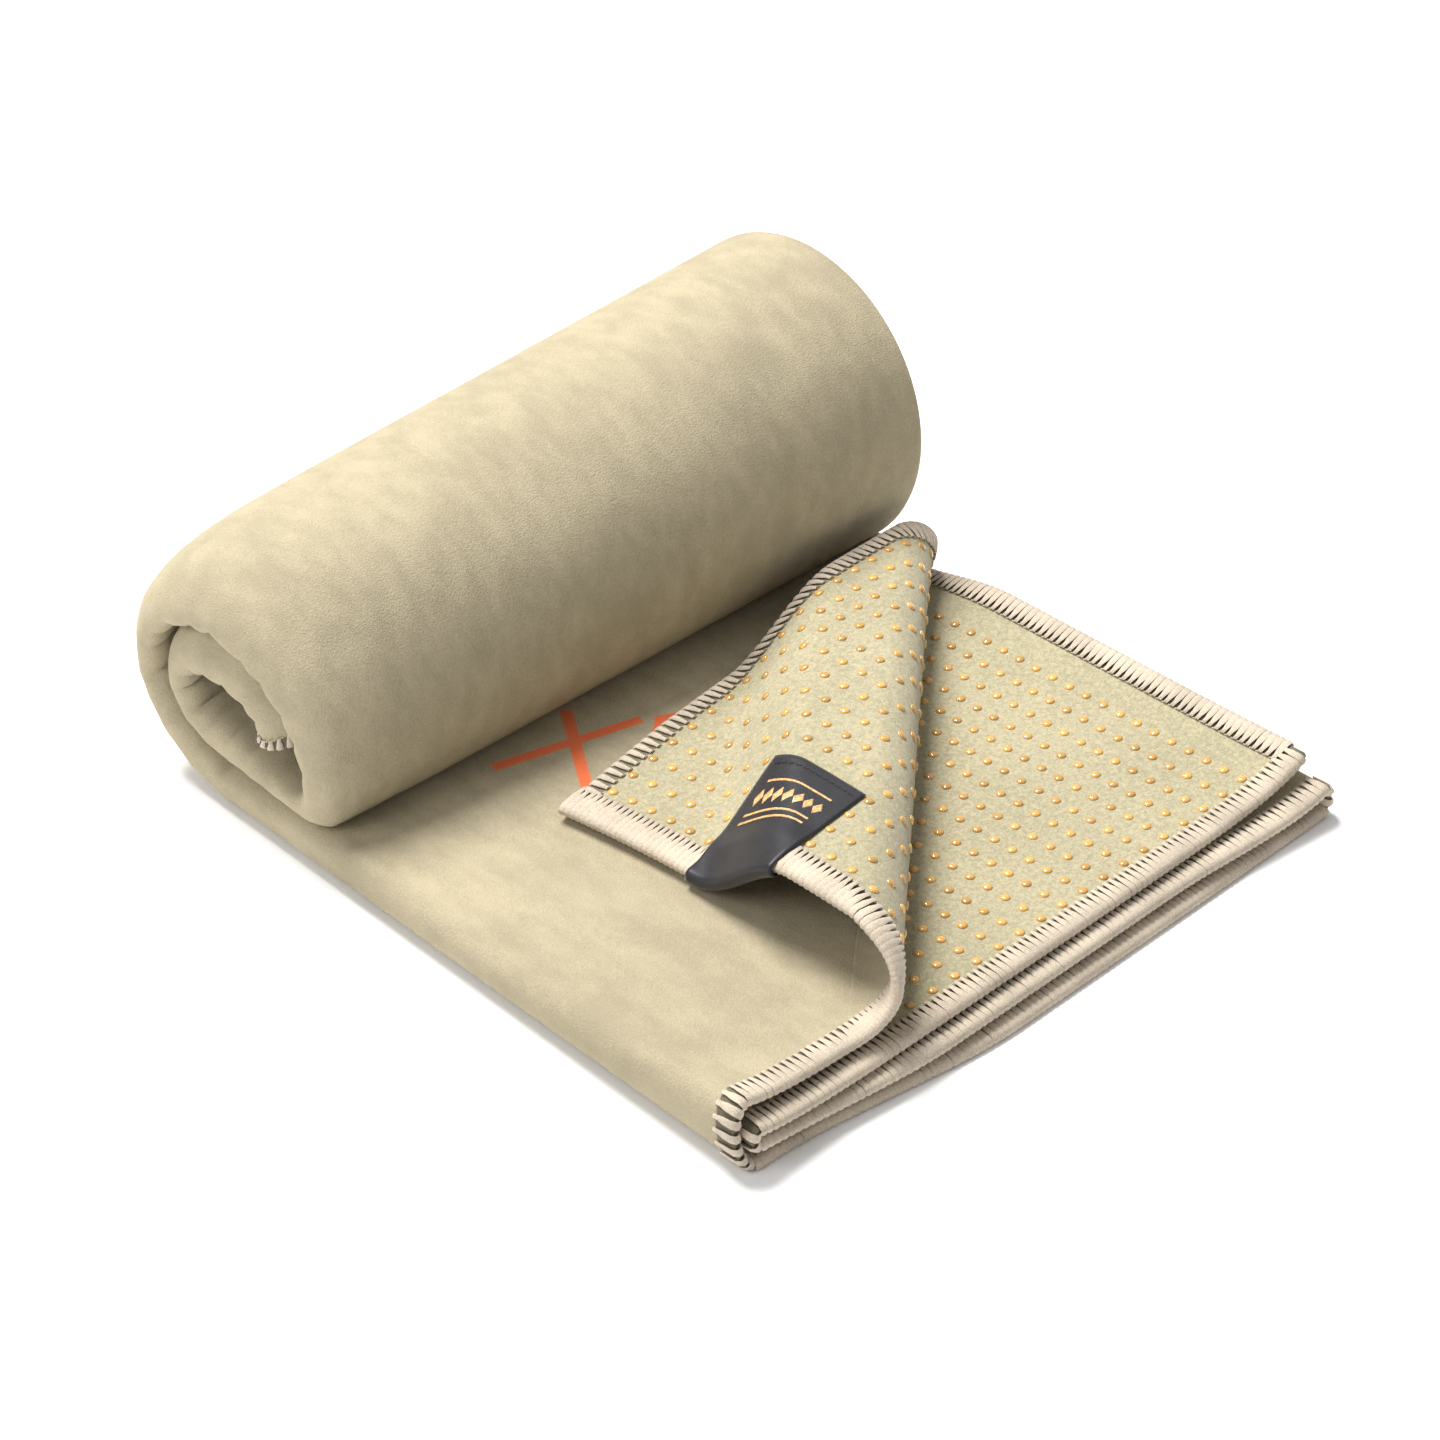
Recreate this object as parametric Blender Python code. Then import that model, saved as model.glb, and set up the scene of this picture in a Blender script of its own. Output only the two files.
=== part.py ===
"""Quick-dry microfibre towel, folded in four across its width and rolled from one end.

The cloth is one sheet. Across the width it is folded into four panels, stacked like this
seen from the open front end (left is the folded side, right is the side of the free edges):

    upper panel    velour up    free edge on the right, its front corner turned back
    inner panel    dots up      free edge on the right
    middle panel   velour up    folded to the lower panel on the right
    lower panel    velour down  folded to the upper panel on the left

The stack lies flat at the front and is rolled up from the back, the lower panel outermost.
Every sub-part is a strip of the same sheet, placed by the same fold and roll functions.
"""
import math

import bmesh
import bpy
from mathutils import Vector

MM = 0.001
TAU = 2.0 * math.pi

# --- the cut and the folded pack -------------------------------------------------------
FOLDED_WIDTH = 152.0 * MM        # across the four stacked panels
CUT_LENGTH = 457.0 * MM          # from the front hem to the hem inside the roll
CLOTH_THICKNESS = 1.2 * MM
HEM_WIDTH = 5.2 * MM             # overlocked edge
HEM_VELOUR_SIDE = 0.6 * MM       # how far the thread stands off the middle of the cloth
HEM_DOT_SIDE = 1.0 * MM
FIT_GAP = 0.3 * MM               # between pieces that touch
INNER_END_GAP = 1.0 * MM         # cloth to the hem inside the roll, where the turn is tight
AIR_BETWEEN_PANELS = 0.8 * MM    # loft where a dotted face lies on a dotted face
VELOUR_LOFT = 1.0 * MM           # loft where velour lies on velour

# --- the folds at the two sides --------------------------------------------------------
OUTER_FOLD_REACH = 4.0 * MM      # half width of the big fold, upper to lower panel
INNER_FOLD_REACH = 1.2 * MM      # half width of the fold between inner and middle panel
INNER_FOLD_INSET = 3.8 * MM      # where that fold starts, inside the big one
RIGHT_FOLD_REACH = 1.8 * MM      # half width of the fold on the right

# --- how far each panel's front hem stands ahead of the upper panel's --------------------
LOWER_AHEAD = 9.5 * MM
MIDDLE_AHEAD = 7.0 * MM
INNER_AHEAD = 3.5 * MM
OUTER_FOLD_AHEAD = 3.0 * MM      # at the bottom of the big fold

# --- loft of the stack near its edges ----------------------------------------------------
FRONT_LOFT = 0.15
FRONT_LOFT_DEPTH = 25.0 * MM
LEFT_LOFT = 0.65
LEFT_LOFT_WIDTH = 11.0 * MM
LEFT_LOFT_DEPTH = 45.0 * MM
RIGHT_LOFT = 1.1
RIGHT_LOFT_WIDTH = 10.0 * MM
RIGHT_LOFT_ENDS = (74.0 * MM, 106.0 * MM)

# --- the roll ----------------------------------------------------------------------------
FLAT_LENGTH = 137.0 * MM         # front line to where the roll leaves the ground
ROLL_DEPTH_RADIUS = (31.5 * MM, 35.5 * MM)     # at the left and the right end
ROLL_HEIGHT_RADIUS = (27.5 * MM, 34.8 * MM)
ROLL_AXIS_BACK = (139.5 * MM, 135.5 * MM)
LEFT_PINCH_DEPTH = 0.09          # the folded end is drawn in
LEFT_PINCH_HEIGHT = 0.16
LEFT_PINCH_WIDTH = 7.0 * MM
TUCK_BULGE = (0.13, 0.0)         # lower front of the roll, at the left and the right end
TUCK_BULGE_AT = math.radians(300.0)
TUCK_BULGE_SPREAD = math.radians(35.0)
FIRST_TURN_LENGTH = 180.0 * MM   # cloth in the outer turn, to where it tucks in
TUCK_LENGTH = 25.0 * MM          # cloth lying on the flat stack under the roll
TUCK_ANGLE = math.radians(312.0)
LAST_ANGLE = math.radians(272.0) # where the inner end stops in the second turn
TURN_GAP = 1.3 * MM              # between one turn and the next

# --- the turned-back corner ----------------------------------------------------------------
CREASE_START = 26.0 * MM         # from the left, where the curl leaves the front hem
CREASE_ANGLE = math.radians(40.0)
CURL_RADIUS = (9.0 * MM, 6.5 * MM)   # at the front hem and at the roll
CURL_LENGTH = 140.0 * MM
FLAP_LEVEL_RUN = 12.0 * MM       # cloth that stays up beside the curl
FLAP_DROP_END = 30.0 * MM        # where the cloth has come down to the panel below
FLAP_SLIDE_FRONT = 20.0 * MM     # how far the cloth slides along the crease
FLAP_SLIDE_BACK = -4.0 * MM
FLAP_SLIDE_REACH = 110.0 * MM
FLAP_SKEW = 22.0 * MM
FLAP_SKEW_RUN = 50.0 * MM
FLAP_TIP_SKEW = 8.0 * MM
FLAP_REST_GAP = 1.6 * MM         # under the tip, which rests on the upper panel
HINGE_GAP = 0.75 * MM            # each side of the crease line between the two bodies

# --- the woven label -------------------------------------------------------------------------
LABEL_WIDTH = 25.0 * MM
LABEL_FROM_CORNER = 38.5 * MM
LABEL_LENGTH = 20.0 * MM
LABEL_BACK_LENGTH = 7.0 * MM
LABEL_THICKNESS = 0.4 * MM
LABEL_CLEARANCE = 0.75 * MM      # the ribbon stands off the cloth it is sewn to
STITCH_INSET = 1.6 * MM
STITCH_WIDTH = 0.5 * MM
STITCH_THICKNESS = 0.3 * MM

# --- facets ------------------------------------------------------------------------------------
PANEL_SEGMENTS = 5
OUTER_FOLD_SEGMENTS = 6
SMALL_FOLD_SEGMENTS = 4
FLAT_ROWS = 7
FIRST_TURN_ROWS = 15
TUCK_ROWS = 2
SECOND_TURN_ROWS = 13
CORNER_SEGMENTS = 26
CORNER_ROWS = 20
LABEL_SEGMENTS = 10
LABEL_ROWS = 4

VELOUR_COLOUR = (0.40, 0.36, 0.25, 1.0)
THREAD_COLOUR = (0.55, 0.49, 0.40, 1.0)
LABEL_COLOUR = (0.012, 0.012, 0.016, 1.0)
GOLD_COLOUR = (0.62, 0.40, 0.20, 1.0)

UPPER, OUTER_FOLD, LOWER, RIGHT_FOLD, MIDDLE, INNER_FOLD, INNER = range(7)

# Heights of the middle of each panel above the ground, from the bottom up.
HALF_CLOTH = CLOTH_THICKNESS / 2.0
LOWER_HEIGHT = HALF_CLOTH
MIDDLE_HEIGHT = LOWER_HEIGHT + 2.0 * HEM_DOT_SIDE + AIR_BETWEEN_PANELS
INNER_HEIGHT = MIDDLE_HEIGHT + CLOTH_THICKNESS + VELOUR_LOFT
UPPER_HEIGHT = INNER_HEIGHT + 2.0 * HEM_DOT_SIDE + AIR_BETWEEN_PANELS
STACK_HEIGHT = UPPER_HEIGHT + HALF_CLOTH
TURN_STEP = STACK_HEIGHT + TURN_GAP
CLOTH_INSET = HEM_WIDTH + FIT_GAP
CLOTH_END = CUT_LENGTH - HEM_WIDTH - INNER_END_GAP


def mix(a, b, t):
    return a + (b - a) * t


def smooth(low, high, x):
    t = min(max((x - low) / (high - low), 0.0), 1.0)
    return t * t * (3.0 - 2.0 * t)


# --- the fold across the width -----------------------------------------------------------------
def half_loop(start_angle, t, centre, reach, low, high):
    """A point on the half ellipse that joins two panels."""
    angle = start_angle + math.pi * t
    height = (low + high) / 2.0 + (high - low) / 2.0 * math.sin(angle)
    return centre + reach * math.cos(angle), height


def section(piece, t):
    """Distance from the left fold, height in the stack and front step of one point."""
    right_turn = FOLDED_WIDTH - RIGHT_FOLD_REACH
    if piece == UPPER:
        return mix(FOLDED_WIDTH, OUTER_FOLD_REACH, t), UPPER_HEIGHT, 0.0
    if piece == OUTER_FOLD:
        across, height = half_loop(
            math.pi / 2.0, t, OUTER_FOLD_REACH, OUTER_FOLD_REACH, LOWER_HEIGHT, UPPER_HEIGHT)
        return across, height, OUTER_FOLD_AHEAD * t
    if piece == LOWER:
        ahead = mix(OUTER_FOLD_AHEAD, LOWER_AHEAD, smooth(0.0, 0.16, t))
        return mix(OUTER_FOLD_REACH, right_turn, t), LOWER_HEIGHT, ahead
    if piece == RIGHT_FOLD:
        across, height = half_loop(
            -math.pi / 2.0, t, right_turn, RIGHT_FOLD_REACH, LOWER_HEIGHT, MIDDLE_HEIGHT)
        return across, height, LOWER_AHEAD
    if piece == MIDDLE:
        ahead = mix(LOWER_AHEAD, MIDDLE_AHEAD, smooth(0.0, 0.3, t))
        ahead = mix(ahead, INNER_AHEAD, smooth(0.85, 1.0, t))
        return mix(right_turn, INNER_FOLD_INSET, t), MIDDLE_HEIGHT, ahead
    if piece == INNER_FOLD:
        across, height = half_loop(
            -math.pi / 2.0, -t, INNER_FOLD_INSET, INNER_FOLD_REACH, MIDDLE_HEIGHT, INNER_HEIGHT)
        return across, height, INNER_AHEAD
    return mix(INNER_FOLD_INSET, FOLDED_WIDTH, t), INNER_HEIGHT, INNER_AHEAD


def loft(across, back):
    """How much the stack stands up at a place, as a factor on the heights in it."""
    back = max(back, 0.0)
    front = FRONT_LOFT * math.exp(-back / FRONT_LOFT_DEPTH)
    left = LEFT_LOFT * math.exp(-max(across, 0.0) / LEFT_LOFT_WIDTH)
    left *= math.exp(-back / LEFT_LOFT_DEPTH)
    right = RIGHT_LOFT * math.exp(-max(FOLDED_WIDTH - across, 0.0) / RIGHT_LOFT_WIDTH)
    right *= 1.0 - smooth(RIGHT_LOFT_ENDS[0], RIGHT_LOFT_ENDS[1], back)
    return 1.0 + front + left + right


def lofted(height, across, back):
    return LOWER_HEIGHT + (height - LOWER_HEIGHT) * loft(across, back)


# --- the roll along the length -------------------------------------------------------------------
def winding_angle(back):
    """Angle wound up at a distance from the front line, from the ground under the roll."""
    run = back - FLAT_LENGTH
    if run < FIRST_TURN_LENGTH:
        return TUCK_ANGLE * run / FIRST_TURN_LENGTH
    run -= FIRST_TURN_LENGTH
    if run < TUCK_LENGTH:
        return TUCK_ANGLE + (TAU - TUCK_ANGLE) * run / TUCK_LENGTH
    run -= TUCK_LENGTH
    inner_length = CUT_LENGTH - FLAT_LENGTH - FIRST_TURN_LENGTH - TUCK_LENGTH
    return TAU + LAST_ANGLE * run / inner_length


def rolled(across, height, back):
    """Distance back and height of a point of the stack, flat or wound into the roll."""
    share = across / FOLDED_WIDTH
    axis_back = mix(ROLL_AXIS_BACK[0], ROLL_AXIS_BACK[1], share)
    if back <= FLAT_LENGTH:
        return back * (axis_back / FLAT_LENGTH if back > 0.0 else 1.0), height
    pinch = math.exp(-max(across, 0.0) / LEFT_PINCH_WIDTH)
    depth = mix(ROLL_DEPTH_RADIUS[0], ROLL_DEPTH_RADIUS[1], share)
    depth *= 1.0 - LEFT_PINCH_DEPTH * pinch
    tall = mix(ROLL_HEIGHT_RADIUS[0], ROLL_HEIGHT_RADIUS[1], share)
    tall *= 1.0 - LEFT_PINCH_HEIGHT * pinch
    angle = winding_angle(back)
    turn_angle = angle % TAU
    offset = (turn_angle - TUCK_BULGE_AT) / TUCK_BULGE_SPREAD
    bulge = 1.0 + mix(TUCK_BULGE[0], TUCK_BULGE[1], share) * math.exp(-offset * offset)
    inward = height
    if angle >= TAU:
        inward += TURN_STEP
        bulge = 1.0
    elif angle > math.pi * 1.5:
        resting = (1.0 - TURN_STEP / tall) / math.cos(angle)
        bulge = min(bulge, resting)
    y = axis_back + (depth * bulge - inward) * math.sin(angle)
    z = tall - (tall * bulge - inward) * math.cos(angle)
    return y, z


# --- the turned-back corner ---------------------------------------------------------------------
def crease_position(share, back):
    """Where, across the width, the cloth has gone a share of the half turn round the curl."""
    ahead = -back
    taper = (CURL_RADIUS[1] - CURL_RADIUS[0]) / CURL_LENGTH
    turn = share * math.pi
    along, out = math.cos(CREASE_ANGLE), math.sin(CREASE_ANGLE)
    rest = turn * CURL_RADIUS[0] - ahead * (along + turn * taper * out)
    return CREASE_START + rest / (out - turn * taper * along)


def turned_back(across, back):
    """Place of a point of the upper panel, with its corner curled over to the left."""
    along_x, along_y = math.cos(CREASE_ANGLE), math.sin(CREASE_ANGLE)
    dx, dy = across - CREASE_START, back
    along = dx * along_x + dy * along_y
    out = dx * along_y - dy * along_x
    if out <= 0.0:
        return across, back, lofted(UPPER_HEIGHT, across, back)
    taper = min(max(along / CURL_LENGTH, 0.0), 1.0)
    radius = mix(CURL_RADIUS[0], CURL_RADIUS[1], taper)
    angle = min(out / radius, math.pi)
    beyond = max(out - math.pi * radius, 0.0)
    foot_x = CREASE_START + along * along_x
    foot_y = along * along_y
    rest_height = HALF_CLOTH + FLAP_REST_GAP + HALF_CLOTH
    drop = 2.0 * radius - rest_height
    height = lofted(UPPER_HEIGHT, foot_x, foot_y)
    height += radius * (1.0 - math.cos(angle))
    height -= drop * smooth(FLAP_LEVEL_RUN, FLAP_DROP_END, beyond)
    slide = mix(FLAP_SLIDE_FRONT, FLAP_SLIDE_BACK, min(max(along / FLAP_SLIDE_REACH, 0.0), 1.0))
    slide *= smooth(0.0, 1.0, angle / math.pi)
    skew = beyond / FLAP_SKEW_RUN
    slide += FLAP_SKEW * skew + FLAP_TIP_SKEW * skew * skew
    sideways = radius * math.sin(angle) - beyond
    x = CREASE_START + (along - slide) * along_x + sideways * along_y
    y = (along - slide) * along_y - sideways * along_x
    return x, y, height


def place(piece, t, from_hem):
    """A point of the cloth in space: left fold at x = 0, front line at y = 0, ground at z = 0."""
    across, height, ahead = section(piece, t)
    back = from_hem - ahead * (1.0 - smooth(0.0, FLAT_LENGTH, from_hem))
    if piece == UPPER and back < FLAT_LENGTH - TUCK_LENGTH:
        return turned_back(across, back)
    height = lofted(height, across, back)
    y, z = rolled(across, height, back)
    return across, y, z


# --- stations over the sheet ---------------------------------------------------------------------
def upper_share(across):
    """Share of the upper panel at a distance from the left fold."""
    return (FOLDED_WIDTH - across) / (FOLDED_WIDTH - OUTER_FOLD_REACH)


def upper_columns(from_hem, inset):
    """Columns of the fixed part of the upper panel, closer together around the curl."""
    edge = min(crease_position(0.5, from_hem) - HINGE_GAP, FOLDED_WIDTH - inset)
    bottom = min(crease_position(0.0, from_hem), edge - HEM_WIDTH)
    columns = [mix(edge, bottom, step / 3.0) for step in range(4)]
    left_stops = (0.62, 0.36, 0.18, 0.08, 0.0)
    columns += [mix(OUTER_FOLD_REACH, bottom, stop) for stop in left_stops]
    return [(UPPER, upper_share(across)) for across in columns]


def panel_columns(piece, first, last):
    stops = [step / PANEL_SEGMENTS for step in range(PANEL_SEGMENTS + 1)]
    return [(piece, mix(first, last, stop * stop * (3.0 - 2.0 * stop))) for stop in stops]


def fold_columns(piece, segments):
    return [(piece, step / segments) for step in range(1, segments)]


def all_columns(from_hem, inset):
    """Every column of the fixed cloth, from the upper panel's edge to the inner panel's edge."""
    last = 1.0 - inset / (FOLDED_WIDTH - INNER_FOLD_INSET)
    columns = upper_columns(from_hem, inset)
    columns += fold_columns(OUTER_FOLD, OUTER_FOLD_SEGMENTS)
    columns += panel_columns(LOWER, 0.0, 1.0)
    columns += fold_columns(RIGHT_FOLD, SMALL_FOLD_SEGMENTS)
    columns += panel_columns(MIDDLE, 0.0, 1.0)
    columns += fold_columns(INNER_FOLD, SMALL_FOLD_SEGMENTS)
    columns += panel_columns(INNER, 0.0, last)
    return columns


def long_rows(first, last):
    """Distances from the front hem, closer together in the roll."""
    flat_end = FLAT_LENGTH
    first_end = flat_end + FIRST_TURN_LENGTH
    tuck_end = first_end + TUCK_LENGTH
    spans = ((0.0, flat_end, FLAT_ROWS), (flat_end, first_end, FIRST_TURN_ROWS),
             (first_end, tuck_end, TUCK_ROWS), (tuck_end, CUT_LENGTH, SECOND_TURN_ROWS))
    rows = [first]
    for low, high, count in spans:
        for step in range(count):
            row = mix(low, high, step / count)
            if first + HEM_WIDTH / 2.0 < row < last - HEM_WIDTH / 2.0:
                rows.append(row)
    rows.append(last)
    return rows


# --- making the pieces ---------------------------------------------------------------------------
def new_material(name, colour, roughness):
    material = bpy.data.materials.new(name)
    material.use_nodes = True
    shader = material.node_tree.nodes["Principled BSDF"]
    shader.inputs["Base Color"].default_value = colour
    shader.inputs["Roughness"].default_value = roughness
    shader.inputs["Metallic"].default_value = 0.0
    return material


def strip(name, columns, rows, point, thickness, offset, material):
    """A sheet over a grid of stations, given its thickness."""
    bm = bmesh.new()
    bmesh.ops.create_grid(bm, x_segments=columns, y_segments=rows, size=0.5)
    for vert in bm.verts:
        column = round((vert.co.x + 0.5) * columns)
        row = round((vert.co.y + 0.5) * rows)
        vert.co = point(column, row)
    mesh = bpy.data.meshes.new(name)
    bm.to_mesh(mesh)
    bm.free()
    mesh.materials.append(material)
    mesh.shade_smooth()
    mesh.set_sharp_from_angle(angle=math.radians(50.0))
    piece = bpy.data.objects.new(name, mesh)
    bpy.context.collection.objects.link(piece)
    solidify = piece.modifiers.new("thickness", "SOLIDIFY")
    solidify.thickness = thickness
    solidify.offset = offset
    return piece


def cloth_strip(name, column_lists, from_hems, thickness, offset, material):
    """A strip of the towel itself: one list of columns for each distance from the hem."""
    def point(column, row):
        piece, t = column_lists[row][column]
        return place(piece, t, from_hems[row])
    columns = len(column_lists[0]) - 1
    return strip(name, columns, len(from_hems) - 1, point, thickness, offset, material)


def make_cloth(material):
    rows = long_rows(CLOTH_INSET, CLOTH_END)
    columns = [all_columns(row, CLOTH_INSET) for row in rows]
    return cloth_strip("towel_cloth", columns, rows, CLOTH_THICKNESS, 0.0, material)


def corner_columns(from_hem, first):
    """Columns of the turned-back corner, from a distance inside its free edge to the crease."""
    crease = crease_position(0.5, from_hem) + HINGE_GAP
    stops = [step / CORNER_SEGMENTS for step in range(CORNER_SEGMENTS + 1)]
    return [(UPPER, upper_share(mix(FOLDED_WIDTH - first, crease, stop))) for stop in stops]


def corner_end(inset):
    """Distance from the front hem at which the crease comes near the free edge."""
    low, high = 0.0, CUT_LENGTH / 2.0
    target = FOLDED_WIDTH - inset - HEM_WIDTH / 2.0
    for _ in range(40):
        middle = (low + high) / 2.0
        if crease_position(0.5, middle) + HINGE_GAP < target:
            low = middle
        else:
            high = middle
    return low


def make_corner(material):
    end = corner_end(CLOTH_INSET)
    rows = [mix(CLOTH_INSET, end, step / CORNER_ROWS) for step in range(CORNER_ROWS + 1)]
    columns = [corner_columns(row, CLOTH_INSET) for row in rows]
    return cloth_strip("corner_cloth", columns, rows, CLOTH_THICKNESS, 0.0, material)


HEM_THICKNESS = HEM_VELOUR_SIDE + HEM_DOT_SIDE
HEM_OFFSET = (HEM_DOT_SIDE - HEM_VELOUR_SIDE) / HEM_THICKNESS


def make_front_hem(material):
    rows = [0.0, HEM_WIDTH]
    columns = [all_columns(row, 0.0) for row in rows]
    return cloth_strip("front_hem", columns, rows, HEM_THICKNESS, HEM_OFFSET, material)


def make_inner_end_hem(material):
    rows = [CUT_LENGTH - HEM_WIDTH, CUT_LENGTH]
    columns = [all_columns(row, 0.0) for row in rows]
    return cloth_strip("inner_end_hem", columns, rows, HEM_THICKNESS, HEM_OFFSET, material)


def make_upper_side_hem(material):
    start = corner_end(0.0) + HEM_WIDTH
    rows = long_rows(start, CLOTH_END)
    pair = [(UPPER, 0.0), (UPPER, upper_share(FOLDED_WIDTH - HEM_WIDTH))]
    return cloth_strip(
        "upper_side_hem", [pair] * len(rows), rows, HEM_THICKNESS, HEM_OFFSET, material)


def make_inner_side_hem(material):
    rows = long_rows(CLOTH_INSET, CLOTH_END)
    width_share = HEM_WIDTH / (FOLDED_WIDTH - INNER_FOLD_INSET)
    pair = [(INNER, 1.0 - width_share), (INNER, 1.0)]
    return cloth_strip(
        "inner_side_hem", [pair] * len(rows), rows, HEM_THICKNESS, HEM_OFFSET, material)


def make_corner_end_hem(material):
    rows = [0.0, HEM_WIDTH]
    columns = [corner_columns(row, 0.0) for row in rows]
    return cloth_strip("corner_end_hem", columns, rows, HEM_THICKNESS, HEM_OFFSET, material)


def make_corner_side_hem(material):
    end = corner_end(HEM_WIDTH)
    rows = [mix(CLOTH_INSET, end, step / CORNER_ROWS) for step in range(CORNER_ROWS + 1)]
    pair = [(UPPER, 0.0), (UPPER, upper_share(FOLDED_WIDTH - HEM_WIDTH))]
    return cloth_strip(
        "corner_side_hem", [pair] * len(rows), rows, HEM_THICKNESS, HEM_OFFSET, material)


def off_cloth(across, from_hem, rise):
    """A point off the turned-back corner, risen on its dotted side."""
    step = 0.5 * MM
    here = Vector(turned_back(across, from_hem))
    side = Vector(turned_back(across + step, from_hem)) - here
    deep = Vector(turned_back(across, from_hem + step)) - here
    return here + rise * deep.cross(side).normalized()


def label_route():
    """The label's run over the hem: distance from the hem's edge, rise off the cloth."""
    half = LABEL_THICKNESS / 2.0
    over_cloth = HALF_CLOTH + LABEL_CLEARANCE + half
    over_hem = HEM_DOT_SIDE + LABEL_CLEARANCE + half
    under_hem = -(HEM_VELOUR_SIDE + LABEL_CLEARANCE + half)
    edge = LABEL_CLEARANCE + half
    step_down = HEM_WIDTH + 3.0 * edge
    route = [(mix(LABEL_LENGTH, step_down, row / LABEL_ROWS), over_cloth)
             for row in range(LABEL_ROWS + 1)]
    route += [(HEM_WIDTH + edge, over_hem), (0.0, over_hem), (-edge, HALF_CLOTH), (-edge, 0.0)]
    route += [(LABEL_BACK_LENGTH * row / LABEL_ROWS, under_hem) for row in range(LABEL_ROWS + 1)]
    return route


def make_label(material):
    route = label_route()
    columns = LABEL_SEGMENTS
    right = FOLDED_WIDTH - LABEL_FROM_CORNER
    def point(column, row):
        from_hem, rise = route[row]
        return off_cloth(right - LABEL_WIDTH * column / columns, from_hem, rise)
    return strip("woven_label", columns, len(route) - 1, point, LABEL_THICKNESS, 0.0, material)


def make_label_stitching(material):
    columns = LABEL_SEGMENTS
    inset = STITCH_INSET
    right = FOLDED_WIDTH - LABEL_FROM_CORNER - inset
    length = LABEL_WIDTH - 2.0 * inset
    rise = HALF_CLOTH + LABEL_CLEARANCE + LABEL_THICKNESS + FIT_GAP + STITCH_THICKNESS / 2.0
    def point(column, row):
        from_hem = LABEL_LENGTH - inset + STITCH_WIDTH * row
        return off_cloth(right - length * column / columns, from_hem, rise)
    return strip("label_stitching", columns, 1, point, STITCH_THICKNESS, 0.0, material)


# --- putting the pieces together -------------------------------------------------------------------
def crease_point(run, radius):
    """A point of the crease line the corner turns about: the outermost line of the curl."""
    along, out = math.cos(CREASE_ANGLE), math.sin(CREASE_ANGLE)
    foot_x = CREASE_START + run * along
    foot_y = run * out
    height = lofted(UPPER_HEIGHT, foot_x, foot_y) + radius
    return Vector((foot_x + radius * out, foot_y - radius * along, height))


def new_empty(name, parent):
    empty = bpy.data.objects.new(name, None)
    empty.parent = parent
    bpy.context.collection.objects.link(empty)
    return empty


def base_centre(pieces):
    """The middle of the underside of all pieces together."""
    bpy.context.view_layer.update()
    graph = bpy.context.evaluated_depsgraph_get()
    points = []
    for piece in pieces:
        solid = piece.evaluated_get(graph)
        points += [vert.co.copy() for vert in solid.data.vertices]
    low = [min(point[axis] for point in points) for axis in range(3)]
    high = [max(point[axis] for point in points) for axis in range(3)]
    return Vector(((low[0] + high[0]) / 2.0, (low[1] + high[1]) / 2.0, low[2]))


def assemble(fixed, turning):
    """Stand the towel on its base centre, the turned-back pieces on the crease line."""
    base = new_empty("towel_base", None)
    base.location = -base_centre(fixed + turning)
    front = crease_point(0.0, CURL_RADIUS[0])
    rear = crease_point(CURL_LENGTH, CURL_RADIUS[1])
    crease = new_empty("crease_line", base)
    crease.location = front
    crease.rotation_mode = "QUATERNION"
    crease.rotation_quaternion = (rear - front).to_track_quat("X", "Z")
    for piece in fixed:
        piece.parent = base
    for piece in turning:
        piece.parent = crease
        piece.matrix_parent_inverse = crease.matrix_basis.inverted()


def main():
    for old in list(bpy.data.objects):
        bpy.data.objects.remove(old, do_unlink=True)
    velour = new_material("velour", VELOUR_COLOUR, 0.9)
    thread = new_material("overlock_thread", THREAD_COLOUR, 0.75)
    ribbon = new_material("label_ribbon", LABEL_COLOUR, 0.5)
    gold = new_material("gold_thread", GOLD_COLOUR, 0.45)
    fixed = [
        make_cloth(velour), make_front_hem(thread), make_inner_end_hem(thread.copy()),
        make_upper_side_hem(thread.copy()), make_inner_side_hem(thread.copy())]
    turning = [
        make_corner(velour.copy()), make_corner_end_hem(thread.copy()),
        make_corner_side_hem(thread.copy()), make_label(ribbon), make_label_stitching(gold)]
    assemble(fixed, turning)


main()
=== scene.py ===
"""Quick-dry towel, folded in four, rolled from one end, with one front corner turned back.

The cloth is one cut, described by two distances: across the cut, from the free edge of the
upper panel, and along it, from the front hem. Cloth, dots, overlock and label all find their
place in space through the same fold.
"""

import math
import random

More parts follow.
